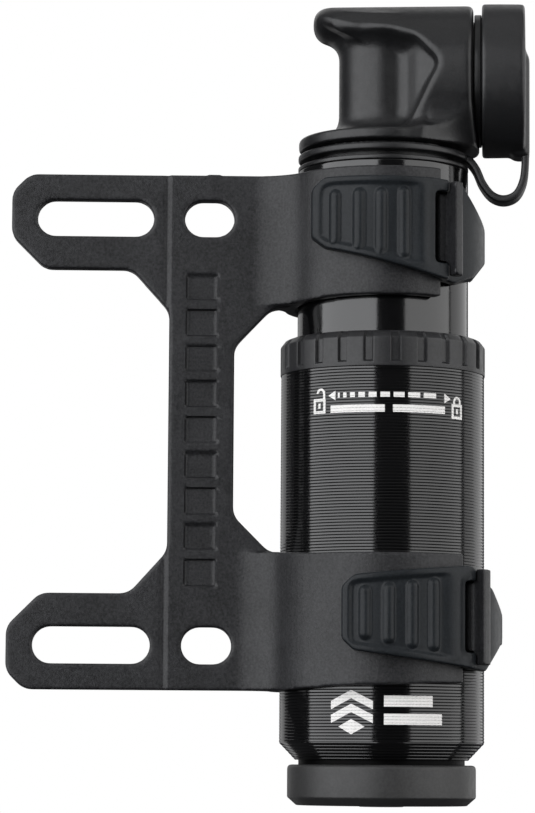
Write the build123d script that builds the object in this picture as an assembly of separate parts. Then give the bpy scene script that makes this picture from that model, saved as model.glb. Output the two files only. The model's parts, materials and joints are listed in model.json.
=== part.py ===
from build123d import *
import os
from math import cos, radians, sin, sqrt

# Bicycle mini pump, strapped into a bracket that bolts to a frame's bottle bosses.
# Lengths are in millimetres. X runs from the bolts to the pump, +Y towards the frame tube,
# +Z along the pump towards its head. The origin is the middle of the bolt pattern, on the
# bracket's back face. Angles "round the pump" start at the front, -Y, and grow towards +X.

# ---- bracket -----------------------------------------------------------------------------
BOSS_SPACING = 64.0
PLATE_THICK = 3.0
SLOT_WIDTH = 5.5
LONG_SLOT = 17.5
SHORT_SLOT = 7.45
LONG_SLOT_X = -17.1
TAB_LEFT = -29.7
TAB_TOP = 38.6
TAB_INNER = 24.3
TAB_OUTER_CHAMFER = 2.7
TAB_INNER_CHAMFER = 5.0
RAIL_LEFT = -5.95
RAIL_RIGHT = 3.85
DIAGONAL_OUT = -11.6
DIAGONAL_END = 18.0
WINDOW_END = 12.65
WINDOW_CORNER = 9.25
UPPER_NECK_EDGE = 18.7
LOWER_NECK_EDGE = 18.1
NECK_DRAFT = 3.2
PLATE_RIGHT = 12.0
OUTLINE_ROUND = 3.0

# ---- pump axis and main diameters (radii) --------------------------------------------------
AXIS_X = 26.3
AXIS_Y = 1.2
BARREL_R = 12.86
BARREL_BORE = 11.2
SLEEVE_R = 15.28
SLEEVE_BORE = 13.35
SLEEVE_END_R = 12.9
SLEEVE_LIP_BORE = 12.45
COLLAR_R = 15.4
END_CAP_R = 14.05
RUNNING = 0.05
GAP = 0.3
LINE = 0.02

# ---- heights along the pump, handle pushed home ---------------------------------------------
FLANGE_TOP = 45.5
FLANGE_LOW = 43.0
TETHER_TOP = 42.45
TETHER_LOW = 41.35
NECK_RING_TOP = 40.6
BARREL_TOP = 39.9
BARREL_LOW = -43.5
SPIGOT_LOW = 33.0
COLLAR_TOP = 14.1
COLLAR_LOW = 8.7
SLEEVE_CHAMFER = -46.2
SLEEVE_LIP = -46.9
SLEEVE_LOW = -48.7
END_CAP_TOP = -49.4
END_CAP_LOW = -55.4

# ---- head and chuck, measured along the chuck's axis from the pump's axis ---------------------
CHUCK_Z = 54.0
CHUCK_TURN = 5.6
BOSS_R = 11.4
BOSS_END = 13.7
RING_R = 10.05
RING_START = 13.85
RING_STEP = 14.95
NOZZLE_R = 9.6
NOZZLE_END = 19.2
VALVE_R = 3.0
GROMMET_R = 8.1
GROMMET_START = 10.0
GROMMET_END = 17.6
CAP_R = 11.66
CAP_START = 15.0
CAP_END = 21.7
CAP_BORE = 10.35
CAP_DEPTH = 19.75
HEAD_TOP = 65.5

# ---- tether: half width and thickness of the flat rubber leash --------------------------------
LEASH_HALF = 2.25
LEASH_THICK = 1.2
LOOP_X = 18.3
LOOP_Z = 35.95
LOOP_GAP = 1.2

# ---- straps: wall, socket and bead at the anchored end ----------------------------------------
STRAP_WALL = 2.25
STRAP_BACK_HALF = 2.4
TAB_WALL = 1.9
RIB_HEIGHT = 0.65
RIB_WIDTH = 1.3
BEAD_R = 1.9
SOCKET_BORE = 2.05
SOCKET_R = 3.2
ANCHOR_ANGLE = 228.0
STRAP_ARC_END = 206.0

PUMP = Pos(AXIS_X, AXIS_Y, 0)
CHUCK = Pos(AXIS_X, AXIS_Y, CHUCK_Z) * Rot(0, 0, -CHUCK_TURN) * Rot(0, 90, 0)
CHUCK_DIR = Vector(cos(radians(CHUCK_TURN)), -sin(radians(CHUCK_TURN)), 0)
CHUCK_SIDE = Vector(sin(radians(CHUCK_TURN)), cos(radians(CHUCK_TURN)), 0)
CHUCK_PLANE = Plane(origin=(AXIS_X, AXIS_Y, 0), x_dir=CHUCK_DIR, z_dir=-CHUCK_SIDE)
FRONT_PLANE = Plane.XZ


class Cradle:
    """Sizes of one band of the bracket with its hook and strap."""

    def __init__(self, inner, wall, end_angle, neck_angles, bar_angles, bar_z, stem_z):
        self.inner = inner
        self.outer = inner + wall
        self.end_angle = end_angle
        self.neck_angles = neck_angles
        self.bar_angles = bar_angles
        self.bar_z = bar_z
        self.stem_z = stem_z
        self.tab_inner = self.outer + 0.2
        self.tab_outer = self.tab_inner + TAB_WALL
        self.bar_low = self.tab_inner + 1.1
        self.bar_top = self.tab_outer + 0.7


UPPER = Cradle(13.15, 1.75, 31.6, (27.5, 33.2), (32.6, 39.3), (22.2, 36.3), (24.4, 34.4))
LOWER = Cradle(15.75, 1.55, 40.2, (38.9, 43.7), (42.8, 49.4), (-34.9, -20.9), (-32.8, -23.0))
UPPER_SPLIT = 26.5
LOWER_SPLIT = 38.2


# ---- helpers ----------------------------------------------------------------------------------
def tube(r_in, r_out, low, high):
    """A ring about the local Z axis, or a plain cylinder if r_in is 0."""
    base = (Align.CENTER, Align.CENTER, Align.MIN)
    body = Pos(0, 0, low) * Cylinder(r_out, high - low, align=base)
    if r_in > 0:
        body -= Pos(0, 0, low - 1) * Cylinder(r_in, high - low + 2, align=base)
    return body


def turned(points):
    """A solid of revolution about the local Z axis from (radius, height) points."""
    return revolve(Plane.XZ * make_face(Polyline(*points, close=True)), Axis.Z)


def round_pump(radius, angle):
    """A point in plan, at an angle round the pump's axis."""
    return (AXIS_X + radius * sin(radians(angle)), AXIS_Y - radius * cos(radians(angle)))


def sector(r_in, r_out, start, end, low, high):
    """A curved wall about the pump's axis between two angles and two heights."""
    sweep_angle = end - start
    outer = CenterArc((AXIS_X, AXIS_Y), r_out, start - 90, sweep_angle)
    inner = CenterArc((AXIS_X, AXIS_Y), r_in, start - 90, sweep_angle)
    side_a = Line(inner @ 0, outer @ 0)
    side_b = Line(outer @ 1, inner @ 1)
    face = make_face([outer, side_b, inner, side_a])
    return Pos(0, 0, low) * extrude(face, high - low)


def front_prism(points, y_from, y_to, rounding=0):
    """A prism along Y whose outline is given as (x, z) points."""
    outline = make_face(Polyline(*points, close=True))
    if rounding > 0:
        outline = fillet(outline.vertices(), rounding)
    solid = extrude(FRONT_PLANE * outline, y_to - y_from)
    return Pos(0, y_to, 0) * solid


# ---- bracket ----------------------------------------------------------------------------------
def plate():
    """The flat part: two tabs, the rail between them, and the roots of both necks."""
    left = [
        (PLATE_RIGHT, TAB_TOP),
        (TAB_LEFT + TAB_OUTER_CHAMFER, TAB_TOP),
        (TAB_LEFT, TAB_TOP - TAB_OUTER_CHAMFER),
        (TAB_LEFT, TAB_INNER + TAB_INNER_CHAMFER),
        (TAB_LEFT + TAB_INNER_CHAMFER, TAB_INNER),
        (DIAGONAL_OUT, TAB_INNER),
        (RAIL_LEFT, DIAGONAL_END),
    ]
    mirrored = [(x, -z) for x, z in reversed(left)]
    window = [
        (PLATE_RIGHT, -LOWER_NECK_EDGE),
        (WINDOW_CORNER, -LOWER_NECK_EDGE),
        (RAIL_RIGHT, -WINDOW_END),
        (RAIL_RIGHT, WINDOW_END),
        (WINDOW_CORNER, UPPER_NECK_EDGE - 0.3),
        (PLATE_RIGHT, UPPER_NECK_EDGE),
    ]
    outline = make_face(Polyline(*left, *mirrored, *window, close=True))
    soft = [v for v in outline.vertices() if v.X < PLATE_RIGHT - 0.1]
    outline = fillet(soft, OUTLINE_ROUND)
    body = extrude(FRONT_PLANE * outline, PLATE_THICK)
    for level in (BOSS_SPACING / 2, -BOSS_SPACING / 2):
        for centre_x, length in ((LONG_SLOT_X, LONG_SLOT), (0, SHORT_SLOT)):
            slot = FRONT_PLANE * Pos(centre_x, level) * SlotOverall(length, SLOT_WIDTH)
            body -= Pos(0, 1, 0) * extrude(slot, PLATE_THICK + 2)
    return body


def web_section(cradle, front_round, back_round):
    """Plan of the neck: it runs from the plate into the band with hollow flanks."""
    front_dy = -PLATE_THICK - front_round - AXIS_Y
    front_dx = -sqrt((cradle.outer + front_round) ** 2 - front_dy ** 2)
    back_dy = back_round - AXIS_Y
    back_dx = -sqrt((cradle.outer + back_round) ** 2 - back_dy ** 2)
    front_share = cradle.outer / (cradle.outer + front_round)
    back_share = cradle.outer / (cradle.outer + back_round)
    points = [
        (AXIS_X + front_dx, -PLATE_THICK),
        (AXIS_X + front_dx * front_share, AXIS_Y + front_dy * front_share),
        (AXIS_X - cradle.inner, AXIS_Y),
        (AXIS_X + back_dx * back_share, AXIS_Y + back_dy * back_share),
        (AXIS_X + back_dx, 0),
    ]
    web = make_face(Polyline(*points, close=True))
    web -= Pos(AXIS_X + front_dx, AXIS_Y + front_dy) * Circle(front_round)
    web -= Pos(AXIS_X + back_dx, AXIS_Y + back_dy) * Circle(back_round)
    return web


def hook(cradle):
    """The T-shaped hook at the band's free end: a stem and a bar across it."""
    stem = sector(cradle.outer - 0.5, cradle.bar_low + 0.6, *cradle.neck_angles, *cradle.stem_z)
    bar = sector(cradle.bar_low, cradle.bar_top, *cradle.bar_angles, *cradle.bar_z)
    ends = [e for e in bar.edges().filter_by(Axis.Z)]
    return stem + fillet(ends, 0.5)


def anchor_centre(cradle):
    """Plan position of the socket that holds the strap's bead."""
    return round_pump(cradle.inner + SOCKET_R, ANCHOR_ANGLE)


def socket(cradle, level):
    """The open socket behind the band, solid; its bore is cut afterwards."""
    x, y = anchor_centre(cradle)
    return Pos(x, y, level) * Cylinder(SOCKET_R, 9.0)


def socket_cut(cradle, level):
    """The socket's bore and the mouth that the strap leaves by."""
    x, y = anchor_centre(cradle)
    mouth_x, mouth_y = round_pump(cradle.inner + STRAP_WALL / 2 + 0.3, STRAP_ARC_END - 8)
    mouth = trace(Line((x, y), (mouth_x, mouth_y)), STRAP_WALL + 0.5)
    bore = Pos(x, y, level) * Cylinder(SOCKET_BORE, 12.0)
    return bore + Pos(0, 0, level - 6) * extrude(mouth, 12.0)


def bracket():
    """Plate, two necks with bands, two hooks and two strap sockets, in one moulding."""
    body = plate()
    upper_low = UPPER_NECK_EDGE - 1.0
    upper_ring = sector(UPPER.inner, UPPER.outer, -124, UPPER.end_angle, upper_low, TAB_TOP)
    upper_web = extrude(web_section(UPPER, 9.0, 4.0), TAB_TOP - upper_low)
    upper = upper_ring + Pos(0, 0, upper_low) * upper_web
    upper -= Pos(0, 0, UPPER_NECK_EDGE) * Rot(-NECK_DRAFT, 0, 0) * Pos(30, 0, -5) * Box(70, 70, 10)
    upper -= Pos(30, 20, UPPER_NECK_EDGE - 5) * Box(70, 40, 10)
    lower_ring = sector(LOWER.inner, LOWER.outer, -124, LOWER.end_angle, -TAB_TOP,
                        -LOWER_NECK_EDGE)
    lower_web = extrude(web_section(LOWER, 8.0, 4.0), TAB_TOP - LOWER_NECK_EDGE)
    lower_under = [(11, -TAB_TOP - 2), (11, -TAB_TOP), (20, -38.0), (60, -36.9), (60, -41)]
    lower_over = [(9, -LOWER_NECK_EDGE + 2), (9.5, -LOWER_NECK_EDGE), (12.5, -18.4), (16, -18.66),
                  (60, -18.66), (60, -16)]
    lower = lower_ring + Pos(0, 0, -TAB_TOP) * lower_web
    lower -= front_prism(lower_under, -30, 30)
    lower -= front_prism(lower_over, -30, 30)
    body += upper
    body += lower
    body += hook(UPPER)
    body += hook(LOWER)
    body += socket(UPPER, 29.1)
    body += socket(LOWER, -29.1)
    body -= PUMP * tube(0, UPPER.inner, 10, 60)
    body -= PUMP * tube(0, LOWER.inner, -60, -10)
    body -= socket_cut(UPPER, 29.1)
    body -= socket_cut(LOWER, -29.1)
    return body


# ---- straps -----------------------------------------------------------------------------------
def strap_back(cradle, level):
    """The narrow run behind the pump, ending in the bead that the socket holds."""
    arc = sector(cradle.inner, cradle.inner + STRAP_WALL, 86, STRAP_ARC_END,
                 level - STRAP_BACK_HALF, level + STRAP_BACK_HALF)
    bead_x, bead_y = anchor_centre(cradle)
    start = round_pump(cradle.inner + STRAP_WALL / 2, STRAP_ARC_END)
    link = extrude(trace(Line(start, (bead_x, bead_y)), STRAP_WALL - 0.05), 2 * STRAP_BACK_HALF)
    bead = Pos(bead_x, bead_y, level) * Cylinder(BEAD_R, 8.6)
    return arc + Pos(0, 0, level - STRAP_BACK_HALF) * link + bead


def strap_front(cradle, split, outline, slot_end):
    """The wide run from the hook round the pump's side, with the hook's slot in it."""
    low, high = cradle.stem_z[0] - 8, cradle.stem_z[1] + 8
    neck_end = cradle.end_angle + 0.7
    run = sector(cradle.inner, cradle.inner + STRAP_WALL, neck_end, 90, low, high)
    step = sector(cradle.tab_inner, cradle.bar_low - 0.15, split + 2.8, neck_end + 2.0, low, high)
    rail = sector(cradle.tab_inner, cradle.tab_outer, split + 0.6, cradle.bar_angles[0] - 0.8,
                  low, high)
    body = run + step + rail
    body &= front_prism(outline, -40, AXIS_Y + 0.5)
    slot_low, slot_high = cradle.stem_z[0] - GAP, cradle.stem_z[1] + GAP
    body -= sector(cradle.inner - 1, cradle.tab_outer + 1, split - 5, slot_end, slot_low, slot_high)
    return body


def strap_tab(cradle, split, outline, rib_angles, rib_span, slot_start):
    """The pull tab that lies on the band, with finger ribs."""
    low, high = cradle.stem_z[0] - 8, cradle.stem_z[1] + 8
    body = sector(cradle.tab_inner, cradle.tab_outer, -50, split, low, high)
    body &= front_prism(outline, -40, AXIS_Y, rounding=1.2)
    slot_low, slot_high = cradle.stem_z[0] - GAP, cradle.stem_z[1] + GAP
    body -= sector(cradle.inner, cradle.tab_outer + 1, slot_start, split + 1, slot_low, slot_high)
    for index, angle in enumerate(rib_angles):
        x, y = round_pump(cradle.tab_outer - 0.3, angle)
        rib_low, rib_high = rib_span(index)
        rib = SlotOverall(rib_high - rib_low, RIB_WIDTH, rotation=90)
        place = Plane(origin=(x, y, (rib_low + rib_high) / 2), x_dir=(cos(radians(angle)),
                      sin(radians(angle)), 0), z_dir=(sin(radians(angle)), -cos(radians(angle)), 0))
        body += extrude(place * rib, RIB_HEIGHT + 0.3)
    return body


def upper_strap():
    outline = [(28, 36.6), (37.4, 36.5), (41.7, 30.9), (41.9, 26.3), (39.2, 22.8), (36.2, 21.5),
               (28, 22.6)]
    return strap_front(UPPER, UPPER_SPLIT, outline, 36.2) + strap_back(UPPER, 29.1)


def lower_strap():
    outline = [(28, -20.5), (38.5, -20.5), (42.1, -23.5), (44.2, -27.2), (44.2, -30.9),
               (40.9, -35.7), (38.5, -35.5), (28, -34.5)]
    return strap_front(LOWER, LOWER_SPLIT, outline, 46.5) + strap_back(LOWER, -29.1)


def upper_strap_tab():
    outline = [(14.95, 28.0), (14.95, 35.2), (16.7, 36.8), (36, 36.6), (36, 21.3), (17.0, 26.2)]
    spans = [(26.6, 34.8), (25.7, 34.9), (25.1, 34.9), (24.4, 35.1)]
    return strap_tab(UPPER, UPPER_SPLIT, outline, (-28.7, -15.9, -4.5, 7.3),
                     lambda index: spans[index], 24.0)


def lower_strap_tab():
    outline = [(19.4, -31.3), (19.4, -23.7), (21.2, -22.0), (40, -20.3), (40, -35.6), (21.2, -33.0)]
    spans = [(-31.5, -23.6), (-32.1, -23.2), (-32.8, -22.8), (-33.1, -22.4)]
    return strap_tab(LOWER, LOWER_SPLIT, outline, (-11.0, -0.5, 9.9, 20.0),
                     lambda index: spans[index], 35.7)


# ---- pump barrel and its fittings ----------------------------------------------------------------
def barrel():
    body = tube(BARREL_BORE, BARREL_R, BARREL_LOW, BARREL_TOP)
    body -= tube(BARREL_R - 0.5, BARREL_R + 1, -42.6, -40.0)
    body -= tube(BARREL_BORE - 1, BARREL_BORE + 0.6, -42.7, -41.8)
    return PUMP * body


def neck_ring():
    return PUMP * tube(10.95, 12.9, BARREL_TOP + LINE, NECK_RING_TOP)


def guide_bush():
    body = tube(3.0 + RUNNING, BARREL_BORE - LINE, -41.75, -37.0)
    body += tube(3.0 + RUNNING, 5.5, -37.5, -34.5)
    return PUMP * body


def bush_clip():
    body = tube(9.8, BARREL_BORE + 0.5, -42.65, -41.85)
    body -= Pos(0, -11, -42.2) * Box(3.0, 5.0, 2.0)
    return PUMP * body


def guide_ring():
    return PUMP * tube(BARREL_R - 0.45, SLEEVE_BORE - RUNNING, -42.5, -40.1)


def stop_ring():
    return PUMP * tube(BARREL_R + LINE, SLEEVE_BORE - 0.08, -39.9, -38.6)


def bump_washer():
    return PUMP * tube(3.4, 7.5, -34.48, -33.0)


# ---- head ---------------------------------------------------------------------------------------
def head_column():
    """Column with a thumb hook, drawn in the plane of the chuck's axis."""
    outline = [
        (-7.6, 44.5), (-6.6, 49.0), (-6.5, 57.0), (-8.0, 59.6), (-10.2, 60.9), (-10.7, 63.0),
        (-9.6, 65.0), (-7.4, HEAD_TOP), (12.0, HEAD_TOP), (12.0, 44.5),
    ]
    face = CHUCK_PLANE * make_face(Polyline(*outline, close=True))
    body = extrude(face, 7.6, both=True)
    turn = Pos(AXIS_X, AXIS_Y, 0) * Rot(0, 0, -CHUCK_TURN)
    round_plan = SlotOverall(26.0, 15.2)
    return body & (turn * Pos(2.2, 0, 40) * extrude(round_plan, 30))


def head_body():
    body = PUMP * turned([(0, FLANGE_LOW), (12.85, FLANGE_LOW), (12.85, 44.6), (12.2, FLANGE_TOP),
                          (9.0, 47.2), (7.0, 49.5), (0, 49.5)])
    boss_root = CHUCK * tube(0, BOSS_R, 1.5, BOSS_END)
    skirt = PUMP * Pos(0, 0, 44) * extrude(Rectangle(30, 30), 22)
    body += head_column()
    body += boss_root & skirt
    body += PUMP * tube(0, 10.9, SPIGOT_LOW, FLANGE_LOW + 0.5)
    body -= PUMP * tube(9.9, 12, 35.9, 38.2)
    body -= PUMP * tube(0, 3.95, SPIGOT_LOW - 1, 36.0)
    body -= PUMP * tube(0, 3.2, 35.9, 46.0)
    body -= PUMP * tube(0, 1.5, 45.9, CHUCK_Z)
    body -= CHUCK * tube(0, 9.05, 9.8, BOSS_END + 1)
    body -= CHUCK * tube(0, 4.05, 6.0, 9.9)
    body -= CHUCK * tube(0, 1.5, -0.5, 6.1)
    return body


def head_o_ring():
    return PUMP * Pos(0, 0, 37.05) * Torus(10.55, 0.62)


def check_seat():
    return PUMP * turned([(1.3, 33.1), (3.9, 33.1), (3.9, 35.95), (2.6, 35.95), (1.3, 34.65)])


def check_ball():
    return PUMP * Pos(0, 0, 36.62) * Sphere(2.3)


def check_spring():
    coil = Helix(pitch=1.4, height=7.0, radius=1.75)
    wire = Plane(origin=coil @ 0, z_dir=coil % 0) * Circle(0.22)
    return PUMP * Pos(0, 0, 38.55) * sweep(wire, path=coil)


def tether_ring():
    """Ring round the neck with the leash's first half, down to the foot of its loop."""
    ring = PUMP * tube(10.95, 12.9, TETHER_LOW, TETHER_TOP)
    route = FilletPolyline((11.9, 41.9), (13.2, 41.7), (15.8, LOOP_Z),
                           (LOOP_X - LOOP_GAP, LOOP_Z), radius=[0.6, 1.9])
    leash = extrude(CHUCK_PLANE * trace(route, LEASH_THICK), LEASH_HALF, both=True)
    leash -= PUMP * tube(0, 10.95, 38, 44)
    leash -= PUMP * tube(0, 12.95, NECK_RING_TOP - 2, TETHER_LOW)
    leash -= PUMP * tube(0, 12.95, TETHER_TOP, FLANGE_TOP)
    return ring + leash


def dust_cap():
    """Rubber cup over the nozzle with the leash's second half, up from its loop."""
    cup = CHUCK * turned([(0, CAP_DEPTH), (CAP_BORE, CAP_DEPTH), (CAP_BORE, CAP_START),
                          (CAP_R - 0.3, CAP_START), (CAP_R, CAP_START + 0.3), (CAP_R, CAP_END - 0.8),
                          (CAP_R - 0.8, CAP_END), (0, CAP_END + 0.25)])
    route = FilletPolyline((LOOP_X + LOOP_GAP, LOOP_Z), (21.4, LOOP_Z), (21.4, 43.5),
                           radius=1.8)
    leash = extrude(CHUCK_PLANE * trace(route, LEASH_THICK), LEASH_HALF, both=True)
    return cup + leash


def chuck_ring():
    """Threaded ring that clamps the grommet; its nozzle carries the dust cap."""
    body = CHUCK * turned([
        (GROMMET_R + 0.1, 10.1), (8.95, 10.1), (8.95, RING_START), (RING_R, RING_START),
        (RING_R, RING_STEP), (NOZZLE_R, RING_STEP), (NOZZLE_R, NOZZLE_END - 0.8),
        (NOZZLE_R - 0.8, NOZZLE_END), (5.0, NOZZLE_END), (4.4, GROMMET_END + 0.1),
        (GROMMET_R + 0.1, GROMMET_END + 0.1),
    ])
    return body


def valve_grommet():
    return CHUCK * tube(VALVE_R, GROMMET_R, GROMMET_START, GROMMET_END)


def valve_pin():
    body = tube(0, 4.0, 8.2, 9.5) + tube(0, 0.9, 6.6, 9.7)
    for turn in range(3):
        body -= Rot(0, 0, 120 * turn) * Pos(2.5, 0, 0) * tube(0, 0.7, 8.0, 9.9)
    return CHUCK * body


# ---- plunger ------------------------------------------------------------------------------------
def piston_rod():
    body = tube(0, 3.0, -44.3, 25.0)
    body += tube(0, 2.0, 24.9, 32.2)
    body += tube(0, 2.0, -52.4, -44.2)
    return PUMP * body


def piston():
    body = tube(2.0 + LINE, 10.85, 25.0, 31.0)
    body -= tube(9.3, 12, 28.0, 30.0)
    body -= tube(9.9, 12, 25.8, 27.2)
    return PUMP * body


def piston_cup():
    lip = BARREL_BORE - RUNNING
    return PUMP * turned([(9.35, 28.05), (lip, 28.05), (lip, 29.95), (10.7, 29.95), (10.3, 28.9),
                          (9.9, 29.95), (9.35, 29.95)])


def piston_guide_ring():
    return PUMP * tube(9.95, BARREL_BORE - RUNNING, 25.85, 27.15)


def hexagon_nut(bore, across_flats, low, high):
    hexagon = extrude(RegularPolygon(across_flats / 2, 6, major_radius=False), high - low)
    return Pos(0, 0, low) * hexagon - tube(0, bore, low - 1, high + 1)


def piston_nut():
    return PUMP * hexagon_nut(2.0 + LINE, 7.0, 31.02, 32.6)


def thrust_washer():
    return PUMP * tube(2.0 + LINE, 4.2, -50.2, -49.65)


def rod_nut():
    return PUMP * hexagon_nut(2.0 + LINE, 7.0, -52.2, -50.22)


# ---- handle -------------------------------------------------------------------------------------
def handle_sleeve():
    body = turned([
        (SLEEVE_LIP_BORE, SLEEVE_LOW), (SLEEVE_END_R, SLEEVE_LOW), (SLEEVE_R, SLEEVE_CHAMFER),
        (SLEEVE_R, COLLAR_LOW - 0.05), (14.4, COLLAR_LOW - 0.05), (14.4, 11.5),
        (SLEEVE_BORE, 11.5), (SLEEVE_BORE, SLEEVE_LIP), (SLEEVE_LIP_BORE, SLEEVE_LIP),
    ])
    return PUMP * body


def lock_collar():
    """Screwed-on collar with a rounded shoulder and thumb notches all round."""
    body = turned([
        (14.42, COLLAR_LOW), (COLLAR_R, COLLAR_LOW), (COLLAR_R, 12.6), (15.1, 13.4),
        (14.4, 13.95), (13.5, COLLAR_TOP), (13.0, COLLAR_TOP), (13.0, 13.3), (14.1, 13.3),
        (14.1, 12.0), (13.0, 12.0), (13.0, 11.55), (14.42, 11.55),
    ])
    for turn in range(24):
        notch = Pos(0, -COLLAR_R - 0.05, 12.1) * Box(1.25, 0.9, 5.0)
        body -= Rot(0, 0, 7.5 + 15 * turn) * notch
    return PUMP * body


def wiper_seal():
    return PUMP * tube(BARREL_R + RUNNING, 14.05, 12.05, 13.25)


def handle_plug():
    body = tube(2.0 + RUNNING, SLEEVE_BORE - LINE, SLEEVE_LIP + LINE, -44.5)
    body += tube(2.0 + RUNNING, 12.4, -53.4, SLEEVE_LIP + 0.1)
    body -= tube(0, 5.0, -54, -49.6)
    return PUMP * body


def end_cap():
    body = turned([
        (12.45, END_CAP_TOP), (13.6, END_CAP_TOP), (END_CAP_R, END_CAP_TOP - 0.45),
        (END_CAP_R, END_CAP_LOW + 1.3), (12.7, END_CAP_LOW), (3.3, END_CAP_LOW),
        (3.3, END_CAP_LOW - 0.2), (0, END_CAP_LOW - 0.2), (0, -53.5), (12.45, -53.5),
    ])
    return PUMP * body


NODES = {
    "bracket": bracket,
    "upper_strap": upper_strap,
    "upper_strap_tab": upper_strap_tab,
    "lower_strap": lower_strap,
    "lower_strap_tab": lower_strap_tab,
    "barrel": barrel,
    "neck_ring": neck_ring,
    "guide_bush": guide_bush,
    "bush_clip": bush_clip,
    "guide_ring": guide_ring,
    "stop_ring": stop_ring,
    "bump_washer": bump_washer,
    "head_body": head_body,
    "head_o_ring": head_o_ring,
    "check_seat": check_seat,
    "check_ball": check_ball,
    "check_spring": check_spring,
    "tether_ring": tether_ring,
    "dust_cap": dust_cap,
    "chuck_ring": chuck_ring,
    "valve_grommet": valve_grommet,
    "valve_pin": valve_pin,
    "piston_rod": piston_rod,
    "piston": piston,
    "piston_cup": piston_cup,
    "piston_guide_ring": piston_guide_ring,
    "piston_nut": piston_nut,
    "thrust_washer": thrust_washer,
    "rod_nut": rod_nut,
    "handle_sleeve": handle_sleeve,
    "lock_collar": lock_collar,
    "wiper_seal": wiper_seal,
    "handle_plug": handle_plug,
    "end_cap": end_cap,
}

os.makedirs("parts", exist_ok=True)
for node, make in NODES.items():
    export_step(make(), f"parts/{node}.step")
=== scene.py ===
import json
from math import cos, pi, radians, sin, tan

import bmesh
import bpy
import numpy as np
import openvdb
from mathutils import Matrix, Vector


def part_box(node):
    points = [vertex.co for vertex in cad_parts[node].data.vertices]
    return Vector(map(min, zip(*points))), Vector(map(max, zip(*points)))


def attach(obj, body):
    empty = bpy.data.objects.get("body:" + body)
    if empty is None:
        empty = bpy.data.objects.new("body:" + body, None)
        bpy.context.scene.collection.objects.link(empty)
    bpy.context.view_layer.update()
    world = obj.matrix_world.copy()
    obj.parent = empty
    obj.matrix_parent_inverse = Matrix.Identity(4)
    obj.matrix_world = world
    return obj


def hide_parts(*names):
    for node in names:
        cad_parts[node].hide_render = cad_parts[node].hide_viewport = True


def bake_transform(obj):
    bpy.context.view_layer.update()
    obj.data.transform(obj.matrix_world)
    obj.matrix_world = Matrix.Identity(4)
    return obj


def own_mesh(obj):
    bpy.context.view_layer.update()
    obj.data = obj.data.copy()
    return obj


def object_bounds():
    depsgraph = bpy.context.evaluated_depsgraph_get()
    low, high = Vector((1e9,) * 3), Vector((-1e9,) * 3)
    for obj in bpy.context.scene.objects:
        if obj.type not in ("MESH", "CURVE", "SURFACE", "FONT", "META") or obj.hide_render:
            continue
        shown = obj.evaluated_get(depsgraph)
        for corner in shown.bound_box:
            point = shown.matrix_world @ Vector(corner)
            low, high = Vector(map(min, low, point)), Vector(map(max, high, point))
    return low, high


# Looks of a bicycle mini pump in its frame bracket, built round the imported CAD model.
# Shapes are drawn in millimetres and scaled to metres as they are placed. Three local frames
# serve beside the part's own: PUMP stands on the pump's axis, HEAD is PUMP with X turned towards
# the chuck, and CHUCK has Z along the chuck's axis, away from the pump.

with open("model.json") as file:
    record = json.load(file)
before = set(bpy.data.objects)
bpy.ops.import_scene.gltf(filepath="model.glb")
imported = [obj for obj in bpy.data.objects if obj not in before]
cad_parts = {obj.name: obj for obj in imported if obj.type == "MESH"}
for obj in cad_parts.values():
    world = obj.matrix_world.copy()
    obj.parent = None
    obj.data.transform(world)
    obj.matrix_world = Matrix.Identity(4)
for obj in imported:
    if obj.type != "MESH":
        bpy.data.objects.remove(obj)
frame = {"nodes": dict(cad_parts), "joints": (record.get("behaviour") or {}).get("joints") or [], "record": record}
cad_low, cad_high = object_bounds()
MM = 0.001


# ---- places and sizes read from the frame ------------------------------------------------------
def size_of(node):
    """(low corner, high corner) of a CAD node in millimetres."""
    low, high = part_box(node)
    return low / MM, high / MM


def radius_of(node):
    low, high = size_of(node)
    return (high.x - low.x) / 2


def joint_named(name):
    return next(joint for joint in frame["joints"] if joint["name"] == name)


barrel_low, barrel_high = size_of("barrel")
AXIS = (barrel_low + barrel_high) / 2
BARREL_R = radius_of("barrel")
SLEEVE_R = radius_of("handle_sleeve")
COLLAR_R = radius_of("lock_collar")
END_CAP_R = radius_of("end_cap")
SLEEVE_LOW = size_of("handle_sleeve")[0].z
COLLAR_LOW, COLLAR_TOP = (corner.z for corner in size_of("lock_collar"))
END_CAP_LOW, END_CAP_TOP = (corner.z for corner in size_of("end_cap"))
HEAD_TOP = size_of("head_body")[1].z
CHUCK_DIR = Vector(joint_named("chuck_ring_turn")["axis"]).normalized()
CHUCK_SIDE = Vector((-CHUCK_DIR.y, CHUCK_DIR.x, 0))
CHUCK_Z = 54.0

SCALE = Matrix.Scale(MM, 4)
PUMP = SCALE @ Matrix.Translation((AXIS.x, AXIS.y, 0))
HEAD = PUMP @ Matrix((CHUCK_DIR, CHUCK_SIDE, (0, 0, 1))).transposed().to_4x4()
CHUCK = HEAD @ Matrix.Translation((0, 0, CHUCK_Z)) @ Matrix.Rotation(pi / 2, 4, "Y")


def round_pump(radius, angle):
    """Plan position in millimetres at an angle in degrees from the front, towards +X."""
    return AXIS.x + radius * sin(radians(angle)), AXIS.y - radius * cos(radians(angle))


def about_pump(points):
    """Each point's offsets from the pump's axis, radius, and angle as in round_pump."""
    dx, dy = points[:, 0] - AXIS.x, points[:, 1] - AXIS.y
    return dx, dy, np.hypot(dx, dy), np.degrees(np.arctan2(dx, -dy))


# ---- materials ---------------------------------------------------------------------------------
def new_material(name):
    """A material with an empty Principled shader, plus its nodes, links and object coordinates."""
    material = bpy.data.materials.new(name)
    material.use_nodes = True
    nodes, links = material.node_tree.nodes, material.node_tree.links
    shader = nodes["Principled BSDF"]
    coordinates = nodes.new("ShaderNodeTexCoord").outputs["Object"]
    return material, nodes, links, shader, coordinates


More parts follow.
